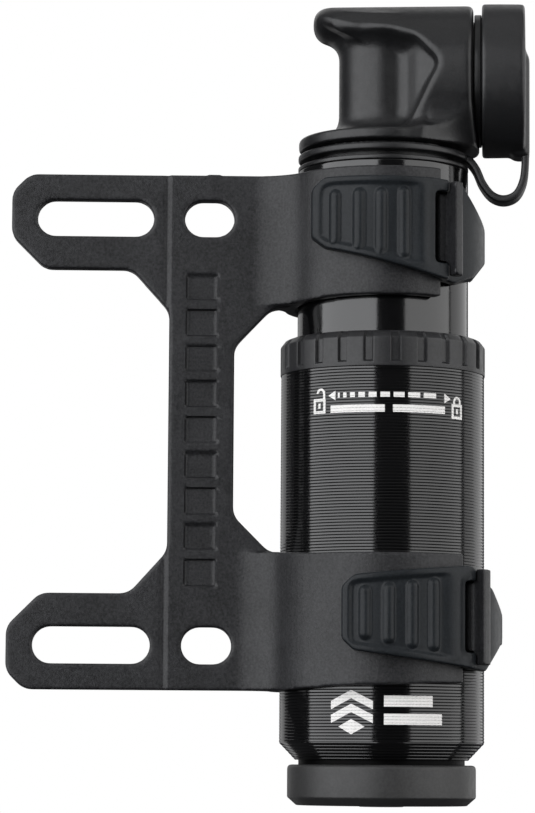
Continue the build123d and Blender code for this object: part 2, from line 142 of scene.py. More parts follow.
def noise_at(nodes, links, coordinates, size_mm, detail):
    """Noise whose grains are about size_mm across."""
    noise = nodes.new("ShaderNodeTexNoise")
    noise.inputs["Scale"].default_value = 1 / (size_mm * MM)
    noise.inputs["Detail"].default_value = detail
    links.new(coordinates, noise.inputs["Vector"])
    return noise.outputs["Fac"]


def map_range(nodes, links, source, start, end, low, high):
    """Maps start to low and end to high, and holds the values beyond."""
    ranged = nodes.new("ShaderNodeMapRange")
    ranged.inputs["From Min"].default_value = start
    ranged.inputs["From Max"].default_value = end
    ranged.inputs["To Min"].default_value = low
    ranged.inputs["To Max"].default_value = high
    links.new(source, ranged.inputs["Value"])
    return ranged.outputs["Result"]


def spread(nodes, links, noise, low, high):
    """Maps the middle of a noise to the range low to high."""
    return map_range(nodes, links, noise, 0.3, 0.7, low, high)


def grey(value, tint=(1.0, 1.0, 1.0)):
    return tuple(value * share for share in tint) + (1.0,)


MOTTLE_SIZE, CLOUD_SIZE, UNEVEN_SIZE = 1.6, 30, 5    # in grains
CLOUD_SHARE = 0.3
ROUGHNESS_SWING = 0.05


def grained(name, dark, light, roughness, grain_mm, depth_mm, tint=(0.97, 0.98, 1.05), **sockets):
    """Moulded or machined finish: mottled colour, uneven roughness, and a fine bump."""
    material, nodes, links, shader, coordinates = new_material(name)
    mottle = noise_at(nodes, links, coordinates, grain_mm * MOTTLE_SIZE, detail=4)
    cloud = noise_at(nodes, links, coordinates, grain_mm * CLOUD_SIZE, detail=3)
    both = nodes.new("ShaderNodeMix")
    both.inputs["Factor"].default_value = CLOUD_SHARE
    links.new(spread(nodes, links, mottle, 0, 1), both.inputs["A"])
    links.new(spread(nodes, links, cloud, 0, 1), both.inputs["B"])
    ramp = nodes.new("ShaderNodeValToRGB")
    ramp.color_ramp.elements[0].color = grey(dark, tint)
    ramp.color_ramp.elements[1].color = grey(light, tint)
    links.new(both.outputs["Result"], ramp.inputs["Fac"])
    links.new(ramp.outputs["Color"], shader.inputs["Base Color"])
    uneven = noise_at(nodes, links, coordinates, grain_mm * UNEVEN_SIZE, detail=3)
    links.new(spread(nodes, links, uneven, roughness - ROUGHNESS_SWING,
                     roughness + ROUGHNESS_SWING), shader.inputs["Roughness"])
    bump = nodes.new("ShaderNodeBump")
    bump.inputs["Strength"].default_value = 1.0
    bump.inputs["Distance"].default_value = depth_mm * MM
    links.new(noise_at(nodes, links, coordinates, grain_mm, detail=3), bump.inputs["Height"])
    links.new(bump.outputs["Normal"], shader.inputs["Normal"])
    for socket, value in sockets.items():
        shader.inputs[socket.replace("_", " ")].default_value = value
    return material


MATERIALS = {
    "bracket_nylon": grained("glass_filled_nylon", 0.006, 0.032, 0.39, 0.22, 0.034,
                             Specular_IOR_Level=0.26),
    "head_nylon": grained("head_nylon", 0.005, 0.012, 0.37, 0.22, 0.018, Specular_IOR_Level=0.40),
    "collar_nylon": grained("collar_nylon", 0.008, 0.022, 0.38, 0.24, 0.014,
                            Specular_IOR_Level=0.36),
    "strap_rubber": grained("strap_rubber", 0.010, 0.020, 0.38, 0.20, 0.010,
                            tint=(0.84, 0.98, 1.12), Specular_IOR_Level=0.16),
    "cap_rubber": grained("cap_rubber", 0.008, 0.015, 0.40, 0.20, 0.006, Specular_IOR_Level=0.4),
    "end_cap_rubber": grained("end_cap_rubber", 0.022, 0.038, 0.44, 0.22, 0.008,
                              tint=(1.0, 1.0, 1.0), Specular_IOR_Level=0.32),
    "seal_rubber": grained("seal_rubber", 0.006, 0.010, 0.36, 0.20, 0.004),
    "anodised_black": grained("black_anodising", 0.0015, 0.0030, 0.12, 0.05, 0.0004,
                              Specular_IOR_Level=0.62),
    "bare_aluminium": grained("turned_aluminium", 0.55, 0.66, 0.24, 0.12, 0.003, Metallic=1.0),
    "bearing_plastic": grained("acetal", 0.55, 0.66, 0.36, 0.25, 0.003, tint=(1.0, 0.98, 0.93)),
    "spring_steel": grained("spring_steel", 0.42, 0.52, 0.26, 0.08, 0.002, Metallic=1.0),
    "steel": grained("ground_steel", 0.50, 0.60, 0.18, 0.10, 0.002, Metallic=1.0),
    "brass": grained("brass", 0.60, 0.72, 0.24, 0.12, 0.002, tint=(1.0, 0.78, 0.42),
                     Metallic=1.0),
}
# Painted shade: the handle plug is near black with almost no reflection, so it shows as the dark, shaded gap
# between the sleeve's end and the end cap.
PLUG_BLACK = grained("plug_black_painted_shade", 0.0006, 0.0012, 0.45, 0.10, 0.002,
                     Specular_IOR_Level=0.04)
ETCHED = grained("laser_etching", 0.66, 0.84, 0.62, 0.12, 0.004, tint=(1.0, 0.985, 0.96))


# ---- making and placing pieces -----------------------------------------------------------------
SHARP_ON_SKINS = 60    # degrees: edges of the remeshed pieces


def place(name, mesh, slot, body=None, stands_for=(), material=None, sharp_angle=38):
    """Makes a piece from a finished mesh, and hangs it on its CAD body."""
    mesh.shade_smooth()
    mesh.set_sharp_from_angle(angle=radians(sharp_angle))
    piece = bpy.data.objects.new(name, mesh)
    bpy.context.scene.collection.objects.link(piece)
    mesh.materials.clear()
    mesh.materials.append(material or MATERIALS[slot])
    if body:
        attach(piece, body)
    if stands_for:
        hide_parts(*stands_for)
    return piece


def to_mesh(name, points, faces, matrix=SCALE):
    """A mesh with doubled points merged and its faces turned outwards."""
    mesh = bpy.data.meshes.new(name)
    mesh.from_pydata([tuple(point) for point in points], [], faces)
    shape = bmesh.new()
    shape.from_mesh(mesh)
    bmesh.ops.remove_doubles(shape, verts=shape.verts, dist=1e-5)
    bmesh.ops.recalc_face_normals(shape, faces=shape.faces)
    shape.to_mesh(mesh)
    shape.free()
    mesh.transform(matrix)
    return mesh


def joined(name, meshes):
    """One mesh that holds several."""
    shape = bmesh.new()
    for mesh in meshes:
        shape.from_mesh(mesh)
    whole = bpy.data.meshes.new(name)
    shape.to_mesh(whole)
    shape.free()
    return whole


def soften(outline, steps=4):
    """Rounds the corners of a closed outline whose points carry a third value, a radius."""
    result = []
    for index, point in enumerate(outline):
        here = Vector(point[:2])
        if len(point) < 3:
            result.append(here)
            continue
        before = Vector(outline[index - 1][:2]) - here
        after = Vector(outline[(index + 1) % len(outline)][:2]) - here
        setback = point[2] / tan(before.angle(after) / 2)
        setback = min(setback, before.length * 0.48, after.length * 0.48)
        start = here + before.normalized() * setback
        end = here + after.normalized() * setback
        for step in range(steps + 1):
            t = step / steps
            result.append(start * (1 - t) ** 2 + here * 2 * t * (1 - t) + end * t * t)
    return result


def lathe(name, outline, matrix, segments=144, reshape=None):
    """Turns a closed (radius, height) outline about Z. reshape may move a point by its angle."""
    ring = soften(outline)
    count = len(ring)
    points = []
    for turn in range(segments):
        angle = 2 * pi * turn / segments
        for radius, height in ring:
            if reshape:
                radius = reshape(radius, height, angle)
            points.append((radius * cos(angle), radius * sin(angle), height))
    faces = []
    for turn in range(segments):
        here, there = turn * count, (turn + 1) % segments * count
        for index in range(count):
            follow = (index + 1) % count
            faces.append((here + index, here + follow, there + follow, there + index))
    return to_mesh(name, points, faces, matrix)


def evaluated(mesh, *modifiers):
    """The mesh after modifiers, each given as (type, settings)."""
    holder = bpy.data.objects.new("holder", mesh)
    bpy.context.scene.collection.objects.link(holder)
    for kind, settings in modifiers:
        modifier = holder.modifiers.new(kind, kind)
        for key, value in settings.items():
            setattr(modifier, key, value)
    graph = bpy.context.evaluated_depsgraph_get()
    result = bpy.data.meshes.new_from_object(holder.evaluated_get(graph))
    bpy.data.objects.remove(holder)
    return result


def smoothing(passes, factor=0.5):
    return "SMOOTH", {"factor": factor, "iterations": passes}


def remeshed(mesh, voxel_mm, passes):
    """An even skin over a closed mesh, its edges rounded by smoothing."""
    skin = "REMESH", {"mode": "VOXEL", "voxel_size": voxel_mm * MM}
    return evaluated(mesh, skin, smoothing(passes))


def thinned(mesh, share):
    """The mesh with that share of its faces."""
    return evaluated(mesh, ("DECIMATE", {"ratio": share}))


def copy_of(node):
    """A CAD node's mesh, copied and with its doubled points merged."""
    mesh = frame["nodes"][node].data.copy()
    shape = bmesh.new()
    shape.from_mesh(mesh)
    bmesh.ops.remove_doubles(shape, verts=shape.verts, dist=1e-6)
    shape.to_mesh(mesh)
    shape.free()
    return mesh


def points_of(mesh):
    """The mesh's points as an array, in millimetres."""
    flat = np.empty(len(mesh.vertices) * 3)
    mesh.vertices.foreach_get("co", flat)
    return flat.reshape(-1, 3) / MM


def set_points(mesh, points):
    mesh.vertices.foreach_set("co", (points * MM).ravel())
    mesh.update()


def ease(value, start, end):
    """0 before start and 1 after end, with a smooth step between."""
    t = np.clip((value - start) / (end - start), 0, 1)
    return t * t * (3 - 2 * t)


# ---- distance fields ---------------------------------------------------------------------------
def soft_min(a, b, blend):
    share = np.clip(0.5 + 0.5 * (b - a) / blend, 0, 1)
    return b + (a - b) * share - blend * share * (1 - share)


def soft_max(a, b, blend):
    return -soft_min(-a, -b, blend)


def polygon_distance(x, y, corners):
    """Signed distance to a closed polygon, negative inside."""
    nearest = np.full(x.shape, 1e6)
    inside = np.ones(x.shape)
    for (ax, ay), (bx, by) in zip(corners, corners[-1:] + corners[:-1]):
        ex, ey = bx - ax, by - ay
        wx, wy = x - ax, y - ay
        t = np.clip((wx * ex + wy * ey) / (ex * ex + ey * ey), 0, 1)
        nearest = np.minimum(nearest, (wx - ex * t) ** 2 + (wy - ey * t) ** 2)
        above, below = y >= ay, y < by
        left = ex * wy > ey * wx
        flips = (above & below & left) | (~above & ~below & ~left)
        inside = np.where(flips, -inside, inside)
    return inside * np.sqrt(nearest)


def field_mesh(name, low, high, step, distance, matrix):
    """The surface where distance(x, y, z) is 0, sampled on an even grid."""
    axes = [np.arange(a, b + step, step) for a, b in zip(low, high)]
    values = distance(*np.meshgrid(*axes, indexing="ij")).astype(np.float32)
    grid = openvdb.FloatGrid(background=float(step * 3))
    grid.copyFromArray(np.ascontiguousarray(np.clip(values, -step * 3, step * 3)))
    grid.transform = openvdb.createLinearTransform(voxelSize=step)
    points, quads = grid.convertToQuads(isovalue=0.0)
    return to_mesh(name, points + np.array(low), [tuple(map(int, quad)) for quad in quads], matrix)


# ---- bracket -----------------------------------------------------------------------------------
BRACKET_VOXEL = 0.26
PLATE_END_X = (8, 10)        # the plate runs into the bands between these
STEP_X = -5.95               # the step between the tabs and the rail
TAB_SINK = 0.36
STEP_GROOVE = 0.14
BAR_X = (-3.35, 1.25)        # the sunk bars down the rail
BAR_HEIGHT = 3.9
BAR_PITCH = 5.35
BAR_COUNT = 9
BAR_MIDDLE = 0.2
BAR_SINK = 0.58
NUB_X = (-0.6, 1.9)          # a low nub on the plate's top edge
NUB_RISE = 0.24
# Each strap hook's bar: its angles from the front, the radius of its inner face, its ends in Z.
HOOK_BARS = [(33.0, 38.9, 17.3, (22.2, 36.3)), (43.2, 49.0, 19.7, (-34.9, -20.9))]
HOOK_LEAN = 0.75
STEM_DROP = 0.9


def shape_plate(points):
    """Sinks the tabs and the rail's bars, and raises the nub."""
    x, y, z = points.T
    front = 1 - ease(y, -2.2, -1.2)
    on_plate = 1 - ease(x, *PLATE_END_X)
    tabs = 1 - ease(x, STEP_X - 0.18, STEP_X + 0.05)
    sink = TAB_SINK * tabs + STEP_GROOVE * np.exp(-((x - STEP_X + 0.45) / 0.28) ** 2)
    for index in range(BAR_COUNT):
        middle = BAR_MIDDLE + BAR_PITCH * (index - (BAR_COUNT - 1) / 2)
        along = np.abs(x - sum(BAR_X) / 2) - (BAR_X[1] - BAR_X[0]) / 2
        across = np.abs(z - middle) - BAR_HEIGHT / 2
        inside = -np.maximum(along, across)
        sink = sink + BAR_SINK * ease(inside, -0.06, 0.14)
    points[:, 1] += sink * front * on_plate
    nub = ease(x, NUB_X[0], NUB_X[0] + 0.5) * (1 - ease(x, NUB_X[1] - 0.5, NUB_X[1]))
    points[:, 2] += NUB_RISE * nub * ease(z, 38.1, 38.5) * (1 - np.abs(y + 1.5) / 3)


def shape_hook(points, start, end, inner, ends):
    """Leans a hook's bar towards the photo's, and lowers the stem that carries it."""
    x, y, z = points.T
    low, high = ends
    dx, dy, radius, angle = about_pump(points)
    on_bar = (angle > start - 0.6) * (angle < end + 0.6) * (z > low - 0.2) * (z < high + 0.2)
    lean = ease(radius, inner - 0.1, inner + 0.5) * on_bar
    points[:, 1] += lean * HOOK_LEAN * (x - round_pump(inner + 0.9, end)[0])
    on_stem = (angle > start - 6) * (1 - ease(angle, start - 0.9, start - 0.2))
    drop = on_stem * ease(radius, inner - 1.0, inner - 0.4) * (z > low + 1) * (z < high - 1)
    points[:, 0] -= dx / radius * drop * STEM_DROP
    points[:, 1] -= dy / radius * drop * STEM_DROP


def make_bracket():
    mesh = remeshed(copy_of("bracket"), BRACKET_VOXEL, 5)
    points = points_of(mesh)
    shape_plate(points)
    for start, end, inner, ends in HOOK_BARS:
        shape_hook(points, start, end, inner, ends)
    set_points(mesh, points)
    place("bracket_moulding", thinned(mesh, 0.6), "bracket_nylon", "root", ["bracket"],
          sharp_angle=SHARP_ON_SKINS)


# ---- straps ------------------------------------------------------------------------------------
class Strap:
    """One strap. Angles are in degrees from the front, and the grip panel ends past the last
    rib."""

    def __init__(self, name, split, outer, slot_z, outline, ribs, swell):
        self.name = name
        self.split = split                # angle at which the pull tab starts
        self.outer = outer                # radius of the tab's face
        self.slot_z = slot_z              # the ends of the hook's slot
        self.outline = soften(outline)    # the tab from the front, as (x, z)
        self.ribs = ribs                  # the finger ribs, each as (angle, low, high)
        self.swell = swell                # the angles of the smooth swell beside the slot


UPPER = Strap(
    "upper", split=26.5, outer=17.0, slot_z=(24.1, 34.7),
    outline=[(14.95, 27.4, 2.2), (14.95, 36.9, 3.0), (36, 36.6), (36, 21.3), (16.6, 26.2, 1.2)],
    ribs=[(-28.7, 26.6, 34.85), (-15.9, 25.7, 34.9), (-4.5, 25.05, 34.9), (7.3, 24.4, 35.1)],
    swell=(11.5, 20.5))
LOWER = Strap(
    "lower", split=38.2, outer=19.4, slot_z=(-33.1, -22.7),
    outline=[(19.4, -32.9, 2.4), (19.4, -22.1, 2.4), (40, -20.3), (40, -35.6)],
    ribs=[(-11.0, -31.5, -23.6), (-0.5, -32.1, -23.2), (9.95, -32.8, -22.8), (20.0, -33.1, -22.4)],
    swell=(24.5, 33.0))
STRAP_THICK = 1.9
RUN_VOXEL = 0.22
TAB_VOXEL, TAB_FINE_VOXEL = 0.20, 0.17
RIB_HALF = 0.98
RIB_HEIGHT = 0.62
RIB_DOME = 2.6               # the power of a rib's rounding
PANEL_DEPTH = 0.46
SWELL_HEIGHT = 0.28
TAB_FALL = 0.35


def sector_mesh(name, radii, angles, heights, steps=6):
    """A curved block about the pump's axis."""
    points = []
    for step in range(steps + 1):
        angle = angles[0] + (angles[1] - angles[0]) * step / steps
        for radius, height in ((0, 0), (1, 0), (1, 1), (0, 1)):
            points.append((*round_pump(radii[radius], angle), heights[height]))
    faces = [(0, 1, 2, 3), tuple(steps * 4 + corner for corner in (3, 2, 1, 0))]
    for step in range(steps):
        here, there = step * 4, step * 4 + 4
        for corner in range(4):
            follow = (corner + 1) % 4
            faces.append((here + corner, there + corner, there + follow, here + follow))
    return to_mesh(name, points, faces)


def half_of(mesh, keep_front):
    """The part of a strap in front of the pump's middle plane, or behind it, closed off."""
    shape = bmesh.new()
    shape.from_mesh(mesh)
    parts = shape.verts[:] + shape.edges[:] + shape.faces[:]
    cut = bmesh.ops.bisect_plane(
        shape, geom=parts, plane_co=(0, AXIS.y * MM, 0), plane_no=(0, 1, 0),
        clear_outer=keep_front, clear_inner=not keep_front)
    edges = [part for part in cut["geom_cut"] if isinstance(part, bmesh.types.BMEdge)]
    bmesh.ops.holes_fill(shape, edges=edges)
    shape.to_mesh(mesh)
    shape.free()
    return mesh


def rib_field(arc, z, strap):
    """How far each point is from the nearest rib's middle line, in millimetres."""
    nearest = np.full(arc.shape, 9.0)
    for angle, low, high in strap.ribs:
        beyond = np.abs(z - (low + high) / 2) - ((high - low) / 2 - RIB_HALF)
        reach = np.hypot(arc - strap.outer * radians(angle), np.maximum(beyond, 0))
        nearest = np.minimum(nearest, reach)
    return nearest


def shape_tab(mesh, strap):
    """Sinks the grip panel inside its lip, rounds the ribs, and swells the smooth part."""
    points = points_of(mesh)
    x, y, z = points.T
    dx, dy, radius, angle = about_pump(points)
    inset = -polygon_distance(x, z, strap.outline)
    last_rib = strap.ribs[-1][0]
    panel = ease(inset, 0.75, 1.55) * (1 - ease(angle, last_rib + 2.5, last_rib + 13))
    reach = rib_field(strap.outer * np.radians(angle), z, strap)
    dome = np.clip(1 - (reach / RIB_HALF) ** RIB_DOME, 0, 1)
    low, high = strap.swell
    middle = (low + high) / 2
    swell = ease(angle, low - 3, middle) * (1 - ease(angle, middle, high + 3))
    fall = ease(angle, high - 3, strap.split - 1) * ease(inset, 1.0, 3.0)
    wanted = (strap.outer + SWELL_HEIGHT * swell * ease(inset, 0.3, 1.8) - PANEL_DEPTH * panel
              + RIB_HEIGHT * dome - TAB_FALL * fall)
    level = ease(inset, 0.45, 0.9) * (radius > strap.outer - 0.5) * (angle < strap.split)
    shift = level * (wanted - radius)
    points[:, 0] += dx / radius * shift
    points[:, 1] += dy / radius * shift
    set_points(mesh, points)


def without_ribs(mesh, strap):
    """The strap with its tab's ribs pressed flat, ready for the ribs to be shaped again."""
    points = points_of(mesh)
    dx, dy, radius, _ = about_pump(points)
    shrink = np.minimum(radius, strap.outer) / radius
    points[:, 0] = AXIS.x + dx * shrink
    points[:, 1] = AXIS.y + dy * shrink
    set_points(mesh, points)
    return mesh


def make_strap(strap):
    """The strap's run behind the pump, and its front with the pull tab in one skin. Short bridges
    join the run to the tab above and below the hook's slot."""
    whole = f"{strap.name}_strap"
    tab = f"{strap.name}_strap_tab"
    back = remeshed(half_of(copy_of(whole), False), RUN_VOXEL, 4)
    place(f"{whole}_back_run", thinned(back, 0.6), "strap_rubber", "root", [whole],
          sharp_angle=SHARP_ON_SKINS)
    low, high = (corner.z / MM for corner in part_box(tab))
    radii = (strap.outer - STRAP_THICK, strap.outer)
    bridge = (strap.split - 2.0, strap.split + 2.0)
    spans = ((low + 1.0, strap.slot_z[0]), (strap.slot_z[1], high - 1.0))
    bridges = [sector_mesh("bridge", radii, bridge, span) for span in spans]
    front = half_of(copy_of(whole), True)
    skin = remeshed(joined("strap", [front, copy_of(tab), *bridges]), TAB_VOXEL, 1)
    skin = remeshed(without_ribs(skin, strap), TAB_FINE_VOXEL, 4)
    shape_tab(skin, strap)
    skin = evaluated(skin, smoothing(3))
    piece = place(f"{whole}_pull_tab", thinned(skin, 0.6), "strap_rubber", None, [tab],
                  sharp_angle=SHARP_ON_SKINS)
    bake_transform(piece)


# ---- pump head ---------------------------------------------------------------------------------
BOSS_R = 11.4
BOSS_END = 13.7
COLUMN_R = 6.6
COLUMN_U = -0.15
COLUMN_MIDDLE, COLUMN_HALF = 52.7, 9.7
FLANGE_R = 12.8
FLANGE_LOW, FLANGE_TOP = 43.0, 44.75
HOOK_U = -3.6                # where the thumb hook's plan starts to round off
HOOK_REACH = 7.1
SPIGOT_R = 10.9              # the spigot in the barrel, and its groove for the O-ring
SPIGOT_MIDDLE, SPIGOT_HALF = 38.2, 5.2
GROOVE_R = 9.9
GROOVE_MIDDLE, GROOVE_HALF = 37.05, 1.15
SEAT_BORE, SEAT_TOP = 3.95, 36.0
AIR_BORE, AIR_TOP = 3.2, 46.0
CHUCK_BORE, CHUCK_FLOOR = 9.05, 9.8
VALVE_PASSAGE = 1.5
HEAD_STEP = 0.22             # the spacing of the grid that the distance is sampled on
# The lower edge of the head's upper part from the front, from the hook's tip round to the flange.
RIDGE = soften([
    (-12.5, 64.6), (-8.5, 63.5, 6.0), (-4.3, 61.9, 6.0), (1.5, 60.7, 6.0), (5.2, 58.9, 5.0),
    (8.7, 55.0, 2.0), (7.2, 52.2, 5.0), (5.0, 47.6, 4.0), (3.4, 42.0), (3.4, 40.0),
    (20.0, 40.0), (20.0, 70.0), (-12.5, 70.0),
], 3)


def head_distance(u, v, z):
    """The head: flange, round column, thumb hook and chuck boss, run into each other. u points to
    the chuck and v to the back."""
    plan = np.hypot(u, v)
    boss_r = np.hypot(v, z - CHUCK_Z)
    column = soft_max(np.hypot(u - COLUMN_U, v) - COLUMN_R, np.abs(z - COLUMN_MIDDLE) - COLUMN_HALF,
                      0.5)
    flange_top = z - FLANGE_TOP - 0.1 * (FLANGE_R - plan)
    flange = soft_max(plan - FLANGE_R, np.maximum(flange_top, FLANGE_LOW - z), 0.5)
    # Under the hook the mass hangs lower in the middle than at its front and back edges.
    sag = 3.6 * np.clip(1 - (v / 7.2) ** 2, 0, 1) * (1 - ease(u, -3, 4))
    sag = np.maximum(sag, 0.75 * np.clip(9.6 - np.abs(v), 0, 3) * (1 - ease(u, 4, 7.5)))
    region = polygon_distance(u, z + sag, RIDGE)
    # Seen from above, the hook is narrower than the boss and has a round end.
    half_width = 9.0 + 6.0 * ease(u, HOOK_U, 4)
    hook_end = np.hypot(np.minimum(u - HOOK_U, 0) / HOOK_REACH, v / half_width) - 1
    hook_end = hook_end * HOOK_REACH
    upper = soft_max(boss_r - BOSS_R, u - BOSS_END, 1.0)
    upper = soft_max(upper, hook_end, 2.6)
    upper = soft_max(upper, region, 1.1 + 1.0 * ease(-u, 5, 8))
    upper = soft_max(upper, 44.0 - z, 0.5)
    # A flank runs down from the boss to the flange on each side of the column.
    flank = np.maximum((np.abs(v) - 5.6 - 1.0 * (u - 2.6)) / 1.41, 1.2 - u)
    flank = soft_max(flank, np.abs(v) - 9.5, 1.6)
    flank = np.maximum(soft_max(flank, -region - 0.2, 0.9), np.abs(z - 52.0) - 9.0)
    column = soft_min(column, flank, 1.6)
    body = soft_min(column, upper, 2.0 - 0.8 * ease(u, -1, 4))
    body = soft_min(body, flange, 3.4 + 2.0 * ease(u, 2, 8))
    body = np.maximum(body, FLANGE_LOW - z)
    body = np.maximum(body, z - HEAD_TOP)
    spigot = np.maximum(plan - SPIGOT_R, np.abs(z - SPIGOT_MIDDLE) - SPIGOT_HALF)
    groove = np.maximum(GROOVE_R - plan, np.abs(z - GROOVE_MIDDLE) - GROOVE_HALF)
    body = np.minimum(body, np.maximum(spigot, -groove))
    body = np.maximum(body, -np.maximum(plan - SEAT_BORE, z - SEAT_TOP))
    body = np.maximum(body, -np.maximum(plan - AIR_BORE, z - AIR_TOP))
    body = np.maximum(body, -np.maximum(boss_r - CHUCK_BORE, CHUCK_FLOOR - u))
    return np.maximum(body, -np.maximum(boss_r - VALVE_PASSAGE, 0 - u))


def make_head():
    mesh = field_mesh("pump_head", (-13.6, -13.4, 32.4), (14.4, 13.4, 66.2), HEAD_STEP,
                      head_distance, HEAD)
    mesh = evaluated(mesh, smoothing(4))
    place("pump_head", thinned(mesh, 0.7), "head_nylon", "root", ["head_body"], sharp_angle=50)


# ---- tether, dust cap and chuck ----------------------------------------------------------------
LEASH_ROUTE = [(11.9, 41.95), (13.0, 41.6), (14.1, 40.2), (15.1, 37.95), (16.5, 36.2),
               (18.3, 35.6), (20.1, 36.3), (21.15, 38.3), (21.5, 41.0), (21.45, 44.0),
               (21.4, 47.0)]
LEASH_HALF = 2.25
LEASH_THICK = 1.15
LEASH_EDGE = 0.45            # the rounding of the leash's edges


def along_spline(route, per_span=8):
    """Points and directions along a smooth line through the route's points."""
    knots = [Vector(point) for point in route]
    knots = [2 * knots[0] - knots[1], *knots, 2 * knots[-1] - knots[-2]]
    samples = []
    for a, b, c, d in zip(knots, knots[1:], knots[2:], knots[3:]):
        for step in range(per_span):
            t = step / per_span
            samples.append(0.5 * (2 * b + (c - a) * t + (2 * a - 5 * b + 4 * c - d) * t ** 2
                                  + (3 * b - a - 3 * c + d) * t ** 3))
    samples.append(knots[-2])
    return samples


def strip_mesh(name, route, half_width, thickness, matrix):
    """A flat band with rounded edges along a route in the head's front plane."""
    line = along_spline(route)
    edge = soften([(side * half_width, face * thickness / 2, LEASH_EDGE)
                   for side, face in ((-1, -1), (1, -1), (1, 1), (-1, 1))])
    points = []
    for index, here in enumerate(line):
        ahead = line[min(index + 1, len(line) - 1)] - line[max(index - 1, 0)]
        ahead.normalize()
        normal = Vector((-ahead.y, ahead.x))
        for width, height in edge:
            at = here + normal * height
            points.append((at.x, width, at.y))
    count = len(edge)
    faces = [tuple(range(count)), tuple(range(len(points) - 1, len(points) - 1 - count, -1))]
    for index in range(len(line) - 1):
        here, there = index * count, (index + 1) * count
        for corner in range(count):
            follow = (corner + 1) % count
            faces.append((here + corner, here + follow, there + follow, there + corner))
    return to_mesh(name, points, faces, matrix)


def make_tether():
    ring = lathe("ring", [(10.98, 41.37), (12.88, 41.37, 0.4), (12.88, 42.43, 0.4), (10.98, 42.43)],
                 PUMP)
    strip = strip_mesh("strip", LEASH_ROUTE, LEASH_HALF, LEASH_THICK, HEAD)
    piece = place("cap_tether", joined("cap_tether", [ring, strip]), "cap_rubber", None,
                  ["tether_ring"])
    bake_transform(piece)


CAP_R = 11.66
CAP_START = 15.0
CAP_END = 21.6
CAP_BORE, CAP_FLOOR = 10.35, 19.75
PAD_MIDDLE, PAD_HALF = 20.9, 1.25
CAP_STEP = 0.2


def cap_distance(x, y, z):
    """The cup along the chuck's axis, and the pad that carries the leash on its end face.
    Local X points down, so the pad lies on that side."""
    radius = np.hypot(x, y)
    wall = radius - (CAP_R - 0.002 * (z - CAP_START) ** 2)
    cup = soft_max(soft_max(wall, z - CAP_END, 0.8), CAP_START - z, 0.5)
    dome = radius ** 2 * 0.002 - 0.2 + z - CAP_END
    cup = soft_max(cup, dome, 0.4)
    pad = soft_max(np.abs(y) - LEASH_HALF - 0.3, np.abs(z - PAD_MIDDLE) - PAD_HALF, 0.9)
    pad = soft_max(pad, -4.0 - x, 1.5)
    pad = soft_max(pad, x - CAP_R - 0.35, 0.8)
    cup = soft_min(cup, pad, 0.9)
    return np.maximum(cup, -np.maximum(radius - CAP_BORE, z - CAP_FLOOR))


def make_cap():
    mesh = field_mesh("dust_cap", (-12.2, -12.2, 14.4), (12.8, 12.2, 22.8), CAP_STEP,
                      cap_distance, CHUCK)
    mesh = evaluated(mesh, smoothing(2, factor=0.4))
    place("dust_cap_cup", thinned(mesh, 0.6), "cap_rubber", "cap", ["dust_cap"], sharp_angle=50)


def make_chuck():
    ring = [(8.15, 10.1), (8.95, 10.1), (8.95, 13.85), (10.05, 13.85, 0.2), (10.05, 14.95, 0.25),
            (9.6, 14.95), (9.6, 19.2, 0.8), (5.2, 19.2, 0.5), (4.4, 17.75), (8.15, 17.75)]
    place("chuck_threaded_ring", lathe("chuck_ring", ring, CHUCK), "head_nylon", "nozzle",
          ["chuck_ring"])
    seal = [(3.0, 10.0, 0.3), (8.1, 10.0, 0.3), (8.1, 17.6, 0.4), (4.6, 17.6, 0.6),
            (3.0, 16.4, 0.5)]
    place("valve_seal", lathe("valve_seal", seal, CHUCK), "seal_rubber", "root",
          ["valve_grommet"])


# ---- barrel, handle and collar -----------------------------------------------------------------
RING_PITCH = 0.45
RING_LAND = 0.58             # the share of the pitch that isn't groove
RING_DEPTH = 0.075
RING_TOP = COLLAR_LOW - 0.05
SLEEVE_BORE = 13.35
SLEEVE_TOP = 11.5            # inside the collar
SOCKET_R = 14.4              # the sleeve's plain top, which the collar covers
LIP_BORE = 12.45
LIP_TOP = -46.9
CHAMFER_TOP = -46.2
CHAMFER_END_R = 12.9


def ringed_radius(height):
    """Outer radius of the sleeve at a height, with its turned grooves."""
    phase = (RING_TOP - height) / RING_PITCH % 1
    groove = max(0.0, 1 - abs(2 * (phase - RING_LAND) / (1 - RING_LAND) - 1))
    taper = max(0.0, CHAMFER_TOP - height) / (CHAMFER_TOP - SLEEVE_LOW)
    return SLEEVE_R - taper * (SLEEVE_R - CHAMFER_END_R) - RING_DEPTH * groove


def make_sleeve():
    shares = (0.001, RING_LAND, (1 + RING_LAND) / 2)
    rings = int((RING_TOP - SLEEVE_LOW) / RING_PITCH) + 1
    heights = [RING_TOP - RING_PITCH * (ring + share) for ring in range(rings) for share in shares]
    outer = [(ringed_radius(height), height) for height in heights if height > SLEEVE_LOW]
    outline = [(SLEEVE_BORE, SLEEVE_TOP), (SOCKET_R, SLEEVE_TOP), (SOCKET_R, RING_TOP), *outer,
               (CHAMFER_END_R, SLEEVE_LOW), (LIP_BORE, SLEEVE_LOW), (LIP_BORE, LIP_TOP),
               (SLEEVE_BORE, LIP_TOP)]
    place("ringed_sleeve", lathe("sleeve", outline, PUMP, segments=160), "anodised_black", "grip",
          ["handle_sleeve"], sharp_angle=20)


NOTCHES = 24
NOTCH_HALF = 0.63
NOTCH_DEPTH = 0.5
NOTCH_LOW = 9.45
NOTCH_TURN = radians(3.75)


